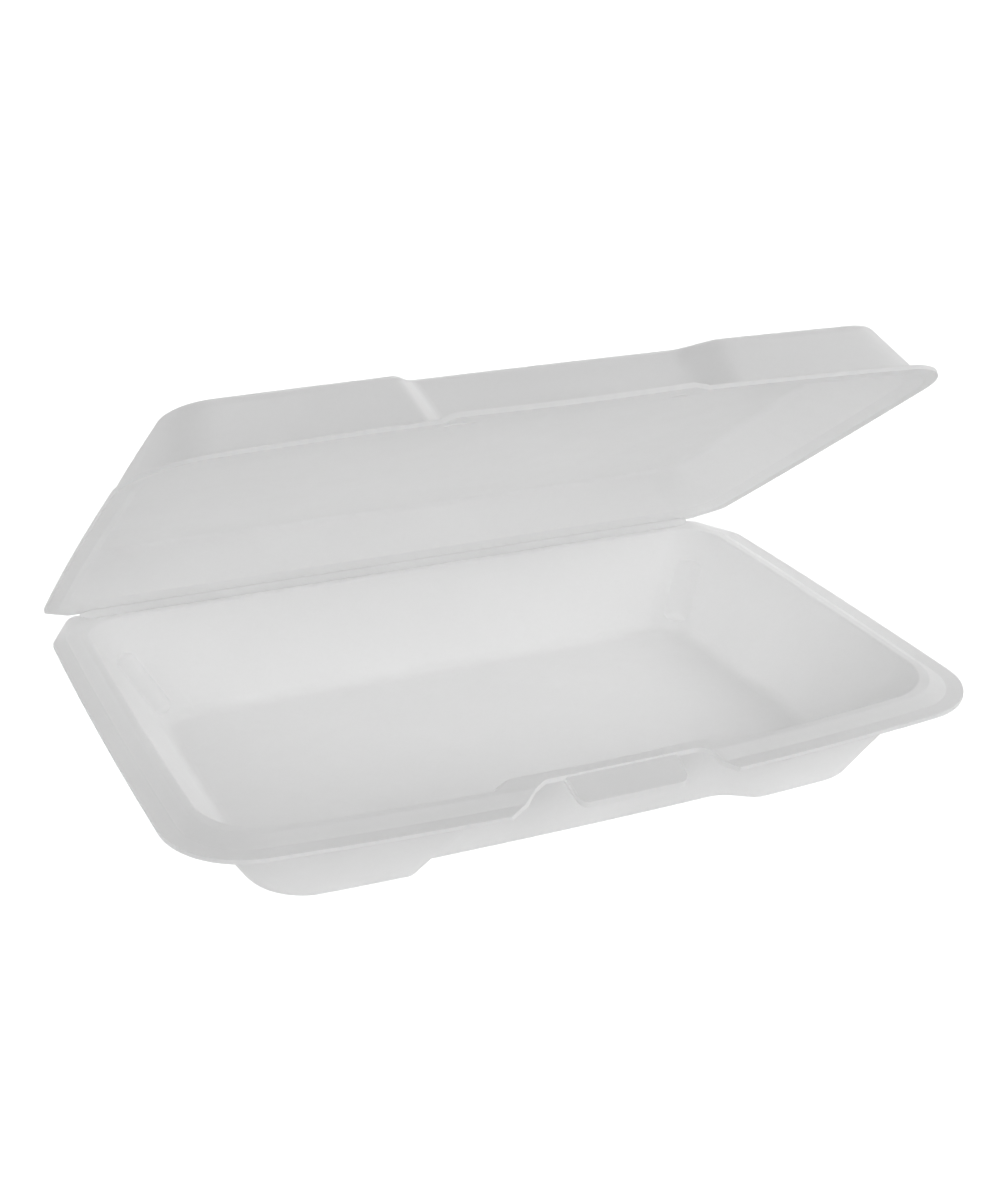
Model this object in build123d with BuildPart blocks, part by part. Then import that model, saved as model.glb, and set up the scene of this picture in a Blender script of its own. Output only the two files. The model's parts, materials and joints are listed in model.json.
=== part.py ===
from build123d import *
from math import cos, radians, sin
import os

# Hinged foam take-away container, open as it stands on a table. Millimetres.
# Origin at the middle of the tray's flat underside, +X along its length,
# -Y towards the latch, +Y towards the hinge, +Z up.

# Overall plan of the closed container
LENGTH = 233.4
DEPTH = 160.0
BOW_FRONT = 8.2
BOW_END = 1.0

# Foam thickness
WALL = 2.4
LIP_THICK = 1.4
SHELF_THICK = 1.0

# Heights of the tray
RIM_HEIGHT = 26.85
CREST_RISE = 1.9

# Height of the lid's dome above its rim
DOME_HEIGHT = 17.2

# The rim, as insets from the outside of the lip
LIP_WIDTH = 4.5
CREST_INSET = 8.0
CREST_WIDTH = 2.3
CREST_OVERHANG = 0.6
SKIRT_STEP_LOW = 0.9
SKIRT_STEP_HIGH = 0.3

# Draft of the walls, as the inset of the tray's foot and of the dome's top
FOOT_INSET_END = 26.6
FOOT_INSET_FRONT = 23.0
FOOT_INSET_REAR = 27.5
TOP_INSET_END = 16.0
TOP_INSET_FRONT = 11.4
TOP_INSET_REAR = 15.0

# Sideways offset of the foot and of the dome's top from the middle of the lip
FOOT_SHIFT = -1.0
TOP_SHIFT = -2.0

# Corner radii in plan
LIP_CORNER = 23.0
CREST_CORNER = 19.0
FOOT_CORNER = 17.0
TOP_CORNER = 12.0
REAR_CORNER = 12.0
REAR_CUT_X = 8.5
REAR_CUT_Y = 17.0
LID_CUT_Y = 9.0
REAR_CUT_ROUND = 5.0

# Bow of the front wall at the crest, at the foot and at the dome's top
BOW_CREST = 7.6
BOW_FOOT = 2.0
BOW_TOP = 2.0

# Set-back centre of the front wall, its half width as a share of the length
RECESS_DEPTH = 4.5
RECESS_DEPTH_FOOT = 6.2
RECESS_DEPTH_DOME = 5.4
RECESS_RUN_LEFT = 5.0
RECESS_RUN_RIGHT = 9.0
RECESS_BLEND_LEFT = 3.5
RECESS_BLEND_RIGHT = 8.0
RECESS_SHARE_FOOT = 0.212
RECESS_SHARE_CREST = 0.137
RECESS_SHARE_RIM = 0.169
RECESS_SHARE_DOME = 0.1755

# Rounded edges
FOOT_ROUND = 5.0
TOP_ROUND = 3.5
CREST_ROUND = 0.9
LIP_ROUND = 0.45

# Latch tab and the notches beside it
TAB_LEFT = -15.2
TAB_RIGHT = 16.0
TAB_FLARE = 1.3
TAB_INSET = 2.0
TAB_DROP = 3.4
TAB_THICK = 1.7
TAB_SINK = 0.3
TAB_CORNER = 3.0
NOTCH_LEFT = -35.4
NOTCH_RIGHT = 30.0
NOTCH_TOP_LEFT = -21.0
NOTCH_TOP_RIGHT = 24.5
NOTCH_ROUND = 3.0
NOTCH_LAND = 1.2

# Slot through the lid's shelf that takes the tab, with a bead along its front
LATCH_X = -2.8
SLOT_HALF = 20.0
SLOT_WIDTH = 2.0
BEAD_HALF = 22.5
BEAD_RADIUS = 0.8
BEAD_INSET = 6.6
BEAD_END = 2.0
SHELF_INSET = 5.1
SHELF_EASE = 0.9

# Lift of the lid's front lip over the tray's notches
LIFT_LEFT = -37.5
LIFT_RIGHT = 27.5
LIFT_RAMP = 4.0
LIFT_HEIGHT = 1.0
LIFT_SAG = 0.45
LIFT_ROUND = 3.0
LIFT_REACH = 5.8

# Stacking lugs, upright ribs in the tray's rear inner corners
LUG_RADIUS = 9.0
LUG_PROUD = 1.4
LUG_LOW = 5.0
LUG_HIGH = 21.0
LUG_END = 3.0

# Clearances
HINGE_GAP = 0.15
RIM_CLEARANCE = 0.5
SHOULDER_CLEARANCE = 0.3

# How far the lid stands open in the photographed pose
OPEN_ANGLE = 35.4

crest_height = RIM_HEIGHT + CREST_RISE
wall_inset = CREST_INSET + CREST_OVERHANG
hinge_y = DEPTH / 2
hinge_z = RIM_HEIGHT + HINGE_GAP
lean = radians(OPEN_ANGLE)
lip_low = HINGE_GAP
lip_high = HINGE_GAP + LIP_THICK
shoulder_low = CREST_RISE - HINGE_GAP + SHOULDER_CLEARANCE
shelf_high = shoulder_low + SHELF_THICK
recess_foot = RECESS_SHARE_FOOT * LENGTH
recess_crest = RECESS_SHARE_CREST * LENGTH
recess_rim = RECESS_SHARE_RIM * LENGTH
recess_dome = RECESS_SHARE_DOME * LENGTH
tray_draft = (FOOT_INSET_FRONT - wall_inset) / crest_height
dome_draft = (TOP_INSET_FRONT - LIP_WIDTH) / (DOME_HEIGHT - lip_high)
floor_step = WALL * ((1 + tray_draft**2) ** 0.5 - tray_draft)
ceiling_step = WALL * ((1 + dome_draft**2) ** 0.5 - dome_draft)
bead_y = BEAD_INSET - DEPTH
slot_y = bead_y + BEAD_RADIUS + SLOT_WIDTH / 2
recess_front = -hinge_y + RECESS_DEPTH
notch_top_y = recess_front + CREST_INSET - NOTCH_LAND
tab_root_y = notch_top_y + WALL / 2
tab_end_y = TAB_INSET - hinge_y
tray_plane = Plane(origin=(0, hinge_y, 0), x_dir=(1, 0, 0), z_dir=(0, 0, 1))
lid_plane = Plane(origin=(0, hinge_y, hinge_z), x_dir=(1, 0, 0), z_dir=(0, sin(lean), cos(lean)))
lid_axis = Axis(lid_plane.origin, lid_plane.z_dir)
bead_start = lid_plane.from_local_coords((LATCH_X - BEAD_HALF, bead_y, shelf_high))
bead_plane = Plane(origin=bead_start, x_dir=(1, 0, 0), z_dir=lid_plane.z_dir)
lift_start = lid_plane.from_local_coords((0, LIFT_REACH - DEPTH, 0))
lift_plane = Plane(origin=lift_start, x_dir=(1, 0, 0), z_dir=lid_plane.y_dir * -1)
corner_reach = (1 - 0.5**0.5) * REAR_CORNER
floor_corner_x = LENGTH / 2 - FOOT_INSET_END - floor_step - BOW_END - corner_reach
floor_corner_y = hinge_y - FOOT_INSET_REAR - floor_step - corner_reach
crest_corner_x = LENGTH / 2 - CREST_INSET - CREST_WIDTH - BOW_END - corner_reach
crest_corner_y = hinge_y - CREST_INSET - CREST_WIDTH - corner_reach


def plan(plane, ends, front, rear, corner, bow, recess_half=0, recess_depth=RECESS_DEPTH):
    """Rounded plan of the container, inset from the lip; recess_half sets back the front's centre."""
    half_length = LENGTH / 2 - ends
    corner_x = half_length - BOW_END
    front_y = front - DEPTH
    corner_y = front_y + bow
    middle_y = (corner_y - rear) / 2
    bow_radius = (corner_x**2 + bow**2) / (2 * bow)

    def bowed(x):
        return front_y + bow_radius - (bow_radius**2 - x**2) ** 0.5

    with BuildSketch(plane) as shape:
        with BuildLine():
            Line((corner_x, -rear), (-corner_x, -rear))
            for side, run in ((-1, RECESS_RUN_LEFT), (1, RECESS_RUN_RIGHT)):
                ThreePointArc(
                    (side * corner_x, -rear),
                    (side * half_length, middle_y),
                    (side * corner_x, corner_y),
                )
                if recess_half:
                    foot_x = recess_half + run / 2
                    step_x = recess_half - run / 2
                    between_x = (corner_x + foot_x) / 2
                    ThreePointArc(
                        (side * corner_x, corner_y),
                        (side * between_x, bowed(between_x)),
                        (side * foot_x, bowed(foot_x)),
                    )
                    Line((side * foot_x, bowed(foot_x)), (side * step_x, bowed(step_x) + recess_depth))
                    ThreePointArc(
                        (side * step_x, bowed(step_x) + recess_depth),
                        (side * step_x / 2, bowed(step_x / 2) + recess_depth),
                        (0, front_y + recess_depth),
                    )
            if not recess_half:
                ThreePointArc((-corner_x, corner_y), (0, front_y), (corner_x, corner_y))
        make_face()
        if recess_half:
            fillet(shape.vertices().filter_by(lambda v: 1 - corner_x < v.X < -1), radius=RECESS_BLEND_LEFT)
            fillet(shape.vertices().filter_by(lambda v: 1 < v.X < corner_x - 1), radius=RECESS_BLEND_RIGHT)
        fillet(shape.vertices().filter_by(lambda v: v.Y > -rear - 1), radius=REAR_CORNER)
        front_half = shape.vertices().filter_by(lambda v: v.Y < middle_y)
        fillet(front_half.filter_by(lambda v: abs(v.X) > corner_x - 0.01), radius=corner)
    return shape.sketch


def ring(plane, inset, recess_half=0):
    """Plan of the rim at an even inset from the lip."""
    return plan(plane, inset, inset, inset, CREST_CORNER, BOW_CREST, recess_half)


def foot(plane, step):
    """Plan of the tray at its foot, or at its floor one step inside."""
    ends = FOOT_INSET_END + step
    front = FOOT_INSET_FRONT + step
    rear = FOOT_INSET_REAR + step
    shifted = Plane(plane.origin + plane.x_dir * FOOT_SHIFT, plane.x_dir, plane.z_dir)
    return plan(shifted, ends, front, rear, FOOT_CORNER, BOW_FOOT, recess_foot, RECESS_DEPTH_FOOT)


def dome_top(plane, step):
    """Plan of the lid's dome at its top, or at its ceiling one step inside."""
    ends = TOP_INSET_END + step
    front = TOP_INSET_FRONT + step
    rear = TOP_INSET_REAR + step
    shifted = Plane(plane.origin + plane.x_dir * TOP_SHIFT, plane.x_dir, plane.z_dir)
    return plan(shifted, ends, front, rear, TOP_CORNER, BOW_TOP, recess_dome, RECESS_DEPTH_DOME)


def lug_frame(side):
    """Plane up the rear inner corner on one side, and the length of the lug along it."""
    low = Vector(side * floor_corner_x + FOOT_SHIFT, floor_corner_y, WALL)
    high = Vector(side * crest_corner_x, crest_corner_y, crest_height)
    line = (high - low).normalized()
    across = line.cross(Vector(0, 0, 1)).normalized()
    outward = line.cross(across)
    start = low + line * ((LUG_LOW - WALL) / line.Z) + outward * (LUG_RADIUS - LUG_PROUD)
    return Plane(origin=start, x_dir=line, z_dir=across), (LUG_HIGH - LUG_LOW) / line.Z


def lip_plan(plane, rear_cut):
    """Outside edge of a lip, its rear corners cut back from the ends of the hinge."""
    corner_x = LENGTH / 2 - BOW_END
    corner_y = BOW_FRONT - DEPTH
    cut_y = -HINGE_GAP - rear_cut
    with BuildSketch(plane) as shape:
        with BuildLine():
            Line((corner_x - REAR_CUT_X, -HINGE_GAP), (REAR_CUT_X - corner_x, -HINGE_GAP))
            for side in (-1, 1):
                Line((side * (corner_x - REAR_CUT_X), -HINGE_GAP), (side * corner_x, cut_y))
                ThreePointArc(
                    (side * corner_x, cut_y),
                    (side * LENGTH / 2, (cut_y + corner_y) / 2),
                    (side * corner_x, corner_y),
                )
            ThreePointArc((-corner_x, corner_y), (0, -DEPTH), (corner_x, corner_y))
        make_face()
        fillet(shape.vertices().filter_by(lambda v: v.Y < corner_y + 1), radius=LIP_CORNER)
        fillet(shape.vertices().filter_by(lambda v: v.Y > cut_y - 1), radius=REAR_CUT_ROUND)
    return shape.sketch


def lift_profile(under, over):
    """Front view of the lid's lifted lip, between a flat level and the lifted curve at another."""
    middle_x = (LIFT_LEFT + LIFT_RIGHT) / 2
    with BuildSketch(lift_plane) as shape:
        with BuildLine():
            Line((LIFT_LEFT - LIFT_RAMP, over), (LIFT_LEFT, over + LIFT_HEIGHT))
            ThreePointArc(
                (LIFT_LEFT, over + LIFT_HEIGHT),
                (middle_x, over + LIFT_SAG),
                (LIFT_RIGHT, over + LIFT_HEIGHT),
            )
            Line((LIFT_RIGHT, over + LIFT_HEIGHT), (LIFT_RIGHT + LIFT_RAMP, over))
            Polyline(
                (LIFT_RIGHT + LIFT_RAMP, over),
                (LIFT_RIGHT + LIFT_RAMP, under),
                (LIFT_LEFT - LIFT_RAMP, under),
                (LIFT_LEFT - LIFT_RAMP, over),
            )
        make_face()
        crests = shape.vertices().filter_by(lambda v: LIFT_LEFT - 1 < v.X < LIFT_RIGHT + 1)
        fillet(crests, radius=LIFT_ROUND)
    return shape.sketch


os.makedirs("parts", exist_ok=True)

# Stacking lugs, round-ended ribs standing in the two rear inner corners
with BuildPart() as lugs:
    for side in (-1, 1):
        lug_plane, lug_length = lug_frame(side)
        with BuildSketch(lug_plane):
            with BuildLine():
                Line((0, 0), (lug_length, 0))
                Spline((lug_length, 0), (lug_length - LUG_END, LUG_RADIUS), tangents=((0, 1), (-1, 0)))
                Line((lug_length - LUG_END, LUG_RADIUS), (LUG_END, LUG_RADIUS))
                Spline((LUG_END, LUG_RADIUS), (0, 0), tangents=((-1, 0), (0, -1)))
            make_face()
        revolve(axis=Axis(lug_plane.origin, lug_plane.x_dir))

# Hollow of the tray, from its floor to the inner edge of the crest
with BuildPart() as tray_hollow:
    loft(
        sections=[
            foot(tray_plane.offset(WALL), floor_step),
            ring(tray_plane.offset(crest_height), CREST_INSET + CREST_WIDTH, recess_crest),
        ],
        ruled=True,
    )
    fillet(tray_hollow.edges().group_by(Axis.Z)[0], radius=FOOT_ROUND)
    add(lugs.part, mode=Mode.SUBTRACT)

# Outside of the tray's walls, up to the underside of the crest
with BuildPart() as tray_walls:
    loft(
        sections=[
            foot(tray_plane, 0),
            ring(tray_plane.offset(crest_height - LIP_THICK), wall_inset, recess_crest),
        ],
        ruled=True,
    )
    fillet(tray_walls.edges().group_by(Axis.Z)[0], radius=FOOT_ROUND)

# Latch tab, sloping down and out from the crest
with BuildPart() as tab:
    with BuildSketch(Plane.YZ.offset(NOTCH_LEFT)):
        with BuildLine():
            Polyline(
                (tab_root_y, crest_height - TAB_SINK),
                (tab_end_y, crest_height - TAB_DROP),
                (tab_end_y, crest_height - TAB_DROP - TAB_THICK),
                (tab_root_y, crest_height - TAB_SINK - TAB_THICK),
                close=True,
            )
        make_face()
    extrude(amount=NOTCH_RIGHT - NOTCH_LEFT)
    with BuildSketch(Plane.XY) as tab_plan:
        with BuildLine():
            Polyline(
                (TAB_LEFT, tab_root_y + WALL),
                (TAB_LEFT, tab_end_y),
                (TAB_RIGHT, tab_end_y),
                (TAB_RIGHT + TAB_FLARE, tab_root_y + WALL),
                close=True,
            )
        make_face()
        fillet(tab_plan.vertices().group_by(Axis.Y)[0], radius=TAB_CORNER)
    extrude(amount=crest_height, mode=Mode.INTERSECT)

# Tray with its crest, skirt and lip
with BuildPart() as base:
    extrude(lip_plan(tray_plane.offset(RIM_HEIGHT - LIP_THICK), REAR_CUT_Y), amount=LIP_THICK)
    fillet(base.edges().filter_by(GeomType.LINE, reverse=True).group_by(Axis.Z)[0], radius=LIP_ROUND)
    loft(
        sections=[
            ring(tray_plane.offset(RIM_HEIGHT), LIP_WIDTH),
            ring(tray_plane.offset(crest_height), CREST_INSET),
        ],
        ruled=True,
    )
    loft(
        sections=[
            ring(tray_plane.offset(RIM_HEIGHT - LIP_THICK), LIP_WIDTH + SKIRT_STEP_LOW),
            ring(tray_plane.offset(crest_height - LIP_THICK), CREST_INSET - SKIRT_STEP_HIGH),
        ],
        ruled=True,
        mode=Mode.SUBTRACT,
    )
    add(tray_walls.part)
    add(tray_hollow.part, mode=Mode.SUBTRACT)
    fillet(base.edges().group_by(Axis.Z)[-1], radius=CREST_ROUND)
    with BuildSketch(Plane.XY) as notches:
        with BuildLine():
            Polyline(
                (NOTCH_LEFT, -hinge_y - LIP_WIDTH),
                (NOTCH_LEFT, -hinge_y + LIP_ROUND),
                (NOTCH_TOP_LEFT, notch_top_y),
                (NOTCH_TOP_RIGHT, notch_top_y),
                (NOTCH_RIGHT, -hinge_y + LIP_ROUND),
                (NOTCH_RIGHT, -hinge_y - LIP_WIDTH),
                close=True,
            )
        make_face()
        fillet(notches.vertices().group_by(Axis.Y)[-1], radius=NOTCH_ROUND)
    extrude(amount=crest_height + CREST_RISE, mode=Mode.SUBTRACT)
    add(tab.part)
base.part.label = "base"
export_step(base.part, "parts/base.step")

# Hollow of the lid's dome, from the rim to its ceiling
with BuildPart() as dome_hollow:
    loft(
        sections=[
            ring(lid_plane.offset(shoulder_low), CREST_INSET - RIM_CLEARANCE, recess_rim),
            dome_top(lid_plane.offset(DOME_HEIGHT - WALL), ceiling_step),
        ],
        ruled=True,
    )
    fillet(dome_hollow.edges().group_by(lid_axis)[-1], radius=TOP_ROUND)

# Outside of the lid's dome
with BuildPart() as dome:
    loft(
        sections=[
            ring(lid_plane.offset(lip_high), LIP_WIDTH, recess_rim),
            dome_top(lid_plane.offset(DOME_HEIGHT), 0),
        ],
        ruled=True,
    )
    fillet(dome.edges().group_by(lid_axis)[-1], radius=TOP_ROUND)

# Bead along the front of the lid's slot
with BuildPart() as bead:
    with BuildSketch(bead_plane):
        with BuildLine():
            Line((0, 0), (2 * BEAD_HALF, 0))
            Spline((2 * BEAD_HALF, 0), (2 * BEAD_HALF - BEAD_END, BEAD_RADIUS), tangents=((0, 1), (-1, 0)))
            Line((2 * BEAD_HALF - BEAD_END, BEAD_RADIUS), (BEAD_END, BEAD_RADIUS))
            Spline((BEAD_END, BEAD_RADIUS), (0, 0), tangents=((-1, 0), (0, -1)))
        make_face()
    revolve(axis=Axis(bead_plane.origin, bead_plane.x_dir))

# Lifted top of the lid's front lip
with BuildPart() as lifted_lip:
    extrude(lip_plan(lid_plane.offset(lip_low + LIP_THICK / 2), LID_CUT_Y), amount=LIP_THICK + LIFT_HEIGHT)
    extrude(lift_profile(lip_low, lip_high), amount=LIFT_REACH + LIP_WIDTH, mode=Mode.INTERSECT)

# Lid with its lip, the shelf over the tray's crest, its dome and its slot
with BuildPart() as lid:
    extrude(lip_plan(lid_plane.offset(lip_low), LID_CUT_Y), amount=LIP_THICK)
    fillet(lid.edges().filter_by(GeomType.LINE, reverse=True).group_by(lid_axis)[-1], radius=LIP_ROUND)
    add(lifted_lip.part)
    loft(
        sections=[
            ring(lid_plane.offset(lip_high - LIP_THICK / 2), SHELF_INSET),
            ring(lid_plane.offset(shelf_high), SHELF_INSET + SHELF_EASE),
        ],
        ruled=True,
    )
    add(dome.part)
    loft(
        sections=[
            ring(lid_plane.offset(lip_low), LIP_WIDTH - RIM_CLEARANCE),
            ring(lid_plane.offset(shoulder_low), CREST_INSET - RIM_CLEARANCE),
        ],
        ruled=True,
        mode=Mode.SUBTRACT,
    )
    add(dome_hollow.part, mode=Mode.SUBTRACT)
    add(bead.part)
    with BuildSketch(lid_plane):
        with Locations((LATCH_X, slot_y)):
            SlotOverall(2 * SLOT_HALF, SLOT_WIDTH)
    extrude(amount=shelf_high + BEAD_RADIUS, mode=Mode.SUBTRACT)
    extrude(lift_profile(lip_low - LIP_THICK, lip_low), amount=LIFT_REACH + LIP_WIDTH, mode=Mode.SUBTRACT)
lid.part.label = "lid"
export_step(lid.part, "parts/lid.step")
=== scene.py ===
import bpy
import json
from math import cos, pi, radians, sin
from mathutils import Matrix, Vector


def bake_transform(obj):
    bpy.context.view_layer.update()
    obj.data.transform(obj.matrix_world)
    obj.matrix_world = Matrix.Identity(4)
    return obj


# Hinged foam take-away container, open on a white table. Metres, in the frame of the solids.

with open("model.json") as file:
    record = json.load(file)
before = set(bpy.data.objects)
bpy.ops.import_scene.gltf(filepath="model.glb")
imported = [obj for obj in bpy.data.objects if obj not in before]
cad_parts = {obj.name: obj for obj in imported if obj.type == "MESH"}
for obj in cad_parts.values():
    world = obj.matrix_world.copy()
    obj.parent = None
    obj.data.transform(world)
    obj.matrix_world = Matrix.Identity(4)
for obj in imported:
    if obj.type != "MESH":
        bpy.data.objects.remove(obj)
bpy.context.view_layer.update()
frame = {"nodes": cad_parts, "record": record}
MM = 0.001
scene = bpy.context.scene
hinge = frame["record"]["behaviour"]["joints"][0]
hinge_line = Vector(hinge["pos_m"])

# Pressed crease along the hinge: a wedge of thin foam between the two lips, with its point behind the hinge line
CREASE_LENGTH = 208 * MM
CREASE_DEPTH = 4.3 * MM
CREASE_HEIGHT = 2.75 * MM
CREASE_BEHIND = 0.6 * MM
CREASE_ROUND = 0.25 * MM
CREASE_ROUND_STEPS = 4
CREASE_LEAN = radians(-hinge["range_deg"][0] / 2)  # half the angle between the open lips
CREASE_PRESSES = 26
CREASE_DENT = 0.96

# Tapered end of the crease: its length, the tip's share of it, the tip's size and its growth to the flare
CREASE_TAPER = 3 * MM
TIP_SHARE = 0.4
TIP_SIZE = 0.3
TIP_GROWTH = 2.4

# Even triangle in a circle of radius 1: its depth and width, and its middle as a share of the depth
TRIANGLE_DEPTH = 1.5
TRIANGLE_WIDTH = 3**0.5
TRIANGLE_MIDDLE = 2 / 3

# Foam skin
FOAM_TONE = 0.985
FOAM_DARK = 0.984
FOAM_LIGHT = 1.013
FOAM_ROUGHNESS = 0.48
FOAM_SHINE = 0.3
FOAM_DEPTH = 4 * MM
FOAM_GLOW = 0.15

# Foam marks: mottling, beads, ripples and cells, each scale as marks in a metre
CLOUD_SCALE = 55
CLOUD_DETAIL = 4
CLOUD_ROUGHNESS = 0.55
CLOUD_SWIRL = 0.4
CLOUD_LOW = 0.35
CLOUD_HIGH = 0.8
BEAD_SCALE = 900
BEAD_SHARE = 0.18
RIPPLE_SCALE = 38
RIPPLE_DETAIL = 2
RIPPLE_STRENGTH = 0.12
RIPPLE_HEIGHT = 1.2 * MM
CELL_SCALE = 700
CELL_STRENGTH = 0.07
CELL_HEIGHT = 0.2 * MM

# Table
TABLE_SIZE = 40.0
TABLE_COLOUR = (0.93, 0.93, 0.93, 1)
TABLE_ROUGHNESS = 0.9
TABLE_SHINE = 0.1
TABLE_WHITE = 0.6
TABLE_GLOW = 0.04

# Camera
CAMERA_PLACE = (-0.2106, -0.4420, 0.2603)
CAMERA_YAW = radians(-25.25)
CAMERA_PITCH = radians(23.56)
CAMERA_ROLL = radians(1.14)
CAMERA_FOCAL_PX = 1892
PHOTO_HEIGHT_PX = 1200
SENSOR = 36.0
CLIP_NEAR = 0.01
CLIP_FAR = 50

# Light, each softbox as its bearing from the front, its height in degrees and its strength
SOFTBOX_WIDTH = radians(50)
SOFTBOXES = (
    ("right_softbox", 90, 25, 0.66),
    ("rear_right_softbox", 135, 25, 0.61),
    ("rear_softbox", 180, 25, 0.61),
    ("rear_left_softbox", 225, 25, 0.61),
    ("front_left_softbox", 315, 25, 0.96),
    ("front_right_softbox", 45, 25, 0.89),
    ("top_softbox", 0, 60, 0.1),
)
DIFFUSE_BOUNCES = 10


def deselect():
    """Leaves nothing selected, so an operator acts on its own piece only."""
    if bpy.context.object and bpy.context.object.mode != "OBJECT":
        bpy.ops.object.mode_set(mode="OBJECT")
    bpy.ops.object.select_all(action="DESELECT")


def add_node(tree, kind, values=None, **settings):
    """One shader node with its settings and socket values."""
    node = tree.nodes.new(kind)
    for name, value in settings.items():
        setattr(node, name, value)
    for name, value in (values or {}).items():
        node.inputs[name].default_value = value
    return node


def foam_material(name, tone):
    """Pressed foam: a soft satin skin, fine beads under it, slow mottling and shallow ripples."""
    material = bpy.data.materials.new(name)
    material.use_nodes = True
    tree = material.node_tree
    link = tree.links.new
    shader = tree.nodes["Principled BSDF"]
    shader.inputs["Roughness"].default_value = FOAM_ROUGHNESS
    shader.inputs["Specular IOR Level"].default_value = FOAM_SHINE
    shader.inputs["Subsurface Weight"].default_value = FOAM_GLOW
    shader.inputs["Subsurface Radius"].default_value = (1, 1, 1)
    shader.inputs["Subsurface Scale"].default_value = FOAM_DEPTH
    place = add_node(tree, "ShaderNodeTexCoord")

    clouds = add_node(
        tree,
        "ShaderNodeTexNoise",
        {"Scale": CLOUD_SCALE, "Detail": CLOUD_DETAIL, "Roughness": CLOUD_ROUGHNESS, "Distortion": CLOUD_SWIRL},
    )
    beads = add_node(tree, "ShaderNodeTexVoronoi", {"Scale": BEAD_SCALE}, feature="F1")
    mix = add_node(tree, "ShaderNodeMath", {1: BEAD_SHARE}, operation="MULTIPLY_ADD")
    tones = add_node(tree, "ShaderNodeValToRGB")
    dark, light = tones.color_ramp.elements
    dark.position = CLOUD_LOW
    light.position = CLOUD_HIGH
    dark.color = (*[tone * FOAM_DARK] * 3, 1)
    light.color = (*[tone * FOAM_LIGHT] * 3, 1)
    link(place.outputs["Object"], clouds.inputs["Vector"])
    link(place.outputs["Object"], beads.inputs["Vector"])
    link(beads.outputs["Distance"], mix.inputs[0])
    link(clouds.outputs["Fac"], mix.inputs[2])
    link(mix.outputs["Value"], tones.inputs["Fac"])
    link(tones.outputs["Color"], shader.inputs["Base Color"])

    ripples = add_node(tree, "ShaderNodeTexNoise", {"Scale": RIPPLE_SCALE, "Detail": RIPPLE_DETAIL})
    slow = add_node(tree, "ShaderNodeBump", {"Strength": RIPPLE_STRENGTH, "Distance": RIPPLE_HEIGHT})
    cells = add_node(tree, "ShaderNodeTexNoise", {"Scale": CELL_SCALE, "Detail": 0})
    fine = add_node(tree, "ShaderNodeBump", {"Strength": CELL_STRENGTH, "Distance": CELL_HEIGHT})
    link(place.outputs["Object"], ripples.inputs["Vector"])
    link(place.outputs["Object"], cells.inputs["Vector"])
    link(ripples.outputs["Fac"], slow.inputs["Height"])
    link(cells.outputs["Fac"], fine.inputs["Height"])
    link(slow.outputs["Normal"], fine.inputs["Normal"])
    link(fine.outputs["Normal"], shader.inputs["Normal"])
    return material


def table_material():
    """White table top that reads as white without throwing back more light than paper would."""
    material = bpy.data.materials.new("white_table")
    material.use_nodes = True
    tree = material.node_tree
    shader = tree.nodes["Principled BSDF"]
    shader.inputs["Base Color"].default_value = TABLE_COLOUR
    shader.inputs["Roughness"].default_value = TABLE_ROUGHNESS
    shader.inputs["Specular IOR Level"].default_value = TABLE_SHINE
    shader.inputs["Emission Color"].default_value = (1, 1, 1, 1)
    ray = add_node(tree, "ShaderNodeLightPath")
    glow = add_node(tree, "ShaderNodeMath", {1: TABLE_WHITE, 2: TABLE_GLOW}, operation="MULTIPLY_ADD")
    tree.links.new(ray.outputs["Is Camera Ray"], glow.inputs[0])
    tree.links.new(glow.outputs["Value"], shader.inputs["Emission Strength"])
    return material


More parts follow.
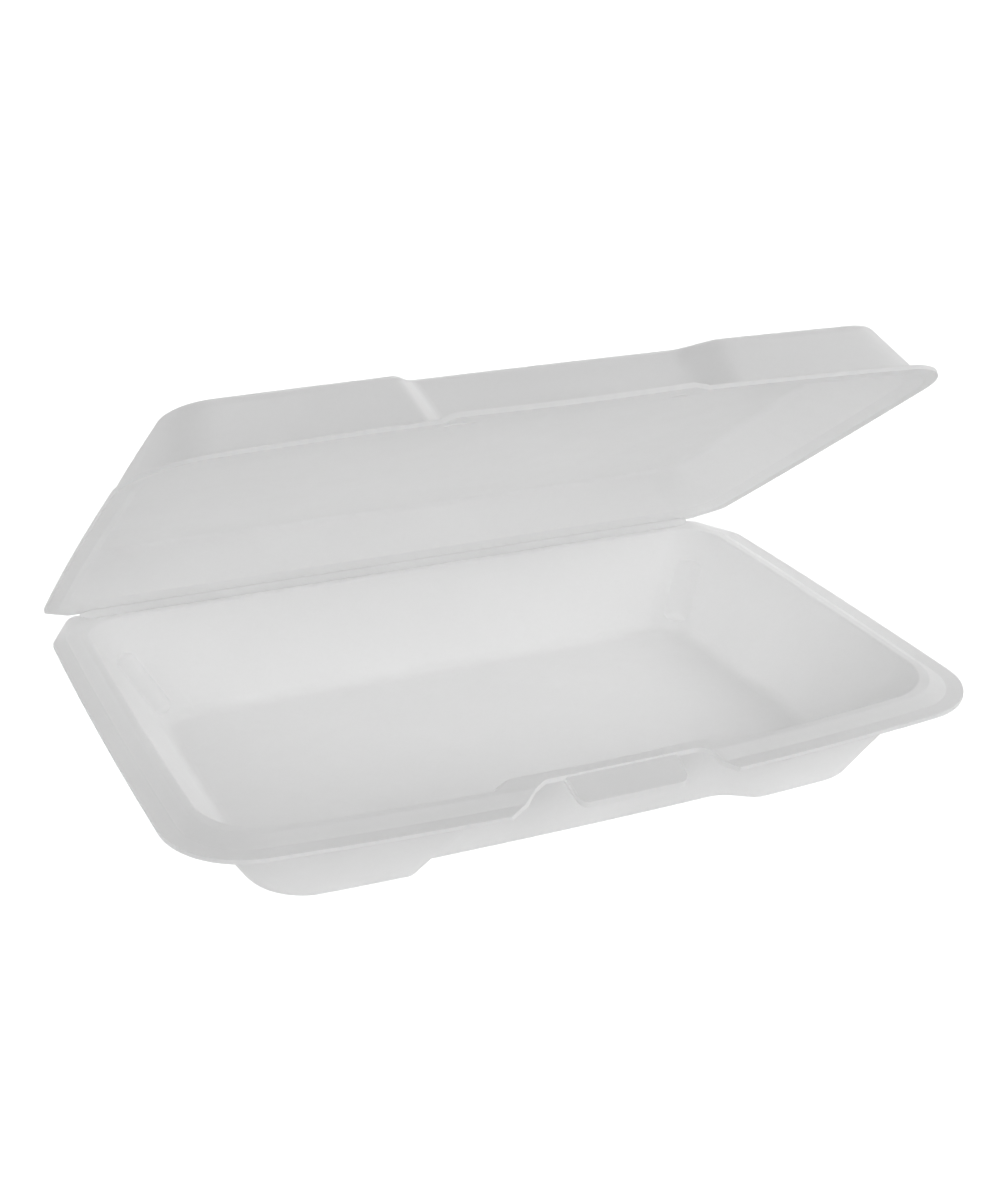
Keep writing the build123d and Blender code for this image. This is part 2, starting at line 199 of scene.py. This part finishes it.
def make_crease(material):
    """Pressed crease that joins the lid to the tray, a soft wedge with shallow dents and tapered ends."""
    deselect()
    forward = Vector((0, -cos(CREASE_LEAN), sin(CREASE_LEAN)))
    middle = hinge_line + forward * (CREASE_DEPTH * TRIANGLE_MIDDLE - CREASE_BEHIND)
    start = middle - Vector((CREASE_LENGTH / 2, 0, 0))
    bpy.ops.mesh.primitive_circle_add(vertices=3, radius=1, fill_type="NGON", location=start, rotation=(0, pi / 2, 0))
    crease = bpy.context.object
    crease.name = "hinge_crease"
    bpy.ops.object.transform_apply(location=False, rotation=True, scale=True)
    crease.scale = (1, CREASE_DEPTH / TRIANGLE_DEPTH, CREASE_HEIGHT / TRIANGLE_WIDTH)
    bpy.ops.object.transform_apply(location=False, rotation=True, scale=True)
    crease.rotation_euler = (-CREASE_LEAN, 0, 0)
    bpy.ops.object.transform_apply(location=True, rotation=True, scale=True)
    bpy.ops.object.mode_set(mode="EDIT")
    bpy.ops.mesh.select_all(action="SELECT")
    bpy.ops.mesh.bevel(offset=CREASE_ROUND, segments=CREASE_ROUND_STEPS, affect="VERTICES")
    bpy.ops.mesh.select_all(action="SELECT")
    bpy.ops.transform.resize(value=(1, TIP_SIZE, TIP_SIZE), center_override=start)
    tip = CREASE_TAPER * TIP_SHARE
    flare = CREASE_TAPER - tip
    press = (CREASE_LENGTH - 2 * CREASE_TAPER) / (2 * CREASE_PRESSES)
    steps = [(tip, TIP_GROWTH), (flare, 1 / TIP_SIZE / TIP_GROWTH)]
    for _ in range(CREASE_PRESSES):
        steps += [(press, CREASE_DENT), (press, 1 / CREASE_DENT)]
    steps += [(flare, TIP_SIZE * TIP_GROWTH), (tip, 1 / TIP_GROWTH)]
    reach = start.x
    for length, scale in steps:
        reach += length
        bpy.ops.mesh.extrude_region_move(TRANSFORM_OT_translate={"value": (length, 0, 0)})
        bpy.ops.transform.resize(value=(1, scale, scale), center_override=(reach, middle.y, middle.z))
    bpy.ops.mesh.select_all(action="SELECT")
    bpy.ops.mesh.normals_make_consistent(inside=False)
    bpy.ops.object.mode_set(mode="OBJECT")
    bpy.ops.object.shade_smooth()
    crease.data.materials.append(material)
    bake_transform(crease)


def make_table():
    """White table that the container stands on."""
    deselect()
    bpy.ops.mesh.primitive_plane_add(size=TABLE_SIZE, location=(0, 0, 0))
    table = bpy.context.object
    table.name = "table"
    table.data.materials.append(table_material())


def make_camera():
    """Camera at the photograph's place and angle."""
    data = bpy.data.cameras.new("camera")
    data.lens = CAMERA_FOCAL_PX / PHOTO_HEIGHT_PX * SENSOR
    data.sensor_width = SENSOR
    data.clip_start = CLIP_NEAR
    data.clip_end = CLIP_FAR
    camera = bpy.data.objects.new("camera", data)
    scene.collection.objects.link(camera)
    forward = Vector(
        (-sin(CAMERA_YAW) * cos(CAMERA_PITCH), cos(CAMERA_YAW) * cos(CAMERA_PITCH), -sin(CAMERA_PITCH))
    )
    level = Vector((cos(CAMERA_YAW), sin(CAMERA_YAW), 0))
    above = level.cross(forward)
    right = cos(CAMERA_ROLL) * level + sin(CAMERA_ROLL) * above
    up = -sin(CAMERA_ROLL) * level + cos(CAMERA_ROLL) * above
    turn = Matrix((right, up, -forward)).transposed()
    camera.matrix_world = Matrix.Translation(CAMERA_PLACE) @ turn.to_4x4()
    scene.camera = camera


def make_light():
    """White room with wide soft lights low around the table."""
    world = bpy.data.worlds.new("white_room")
    world.use_nodes = True
    tree = world.node_tree
    backdrop = tree.nodes["Background"]
    backdrop.inputs["Color"].default_value = (1, 1, 1, 1)
    ray = add_node(tree, "ShaderNodeLightPath")
    tree.links.new(ray.outputs["Is Camera Ray"], backdrop.inputs["Strength"])
    scene.world = world
    for name, bearing, height, strength in SOFTBOXES:
        data = bpy.data.lights.new(name, "SUN")
        data.energy = strength
        data.angle = SOFTBOX_WIDTH
        light = bpy.data.objects.new(name, data)
        scene.collection.objects.link(light)
        turn = radians(bearing)
        rise = radians(height)
        toward = Vector((sin(turn) * cos(rise), -cos(turn) * cos(rise), sin(rise)))
        light.rotation_euler = toward.to_track_quat("Z", "Y").to_euler()
    scene.view_settings.view_transform = "Standard"
    scene.view_settings.look = "None"
    scene.cycles.diffuse_bounces = DIFFUSE_BOUNCES


deselect()
foam = foam_material("pressed_foam", FOAM_TONE)
for node in ("base", "lid"):
    for slot in frame["nodes"][node].material_slots:
        slot.material = foam
make_crease(foam)
make_table()
make_camera()
make_light()
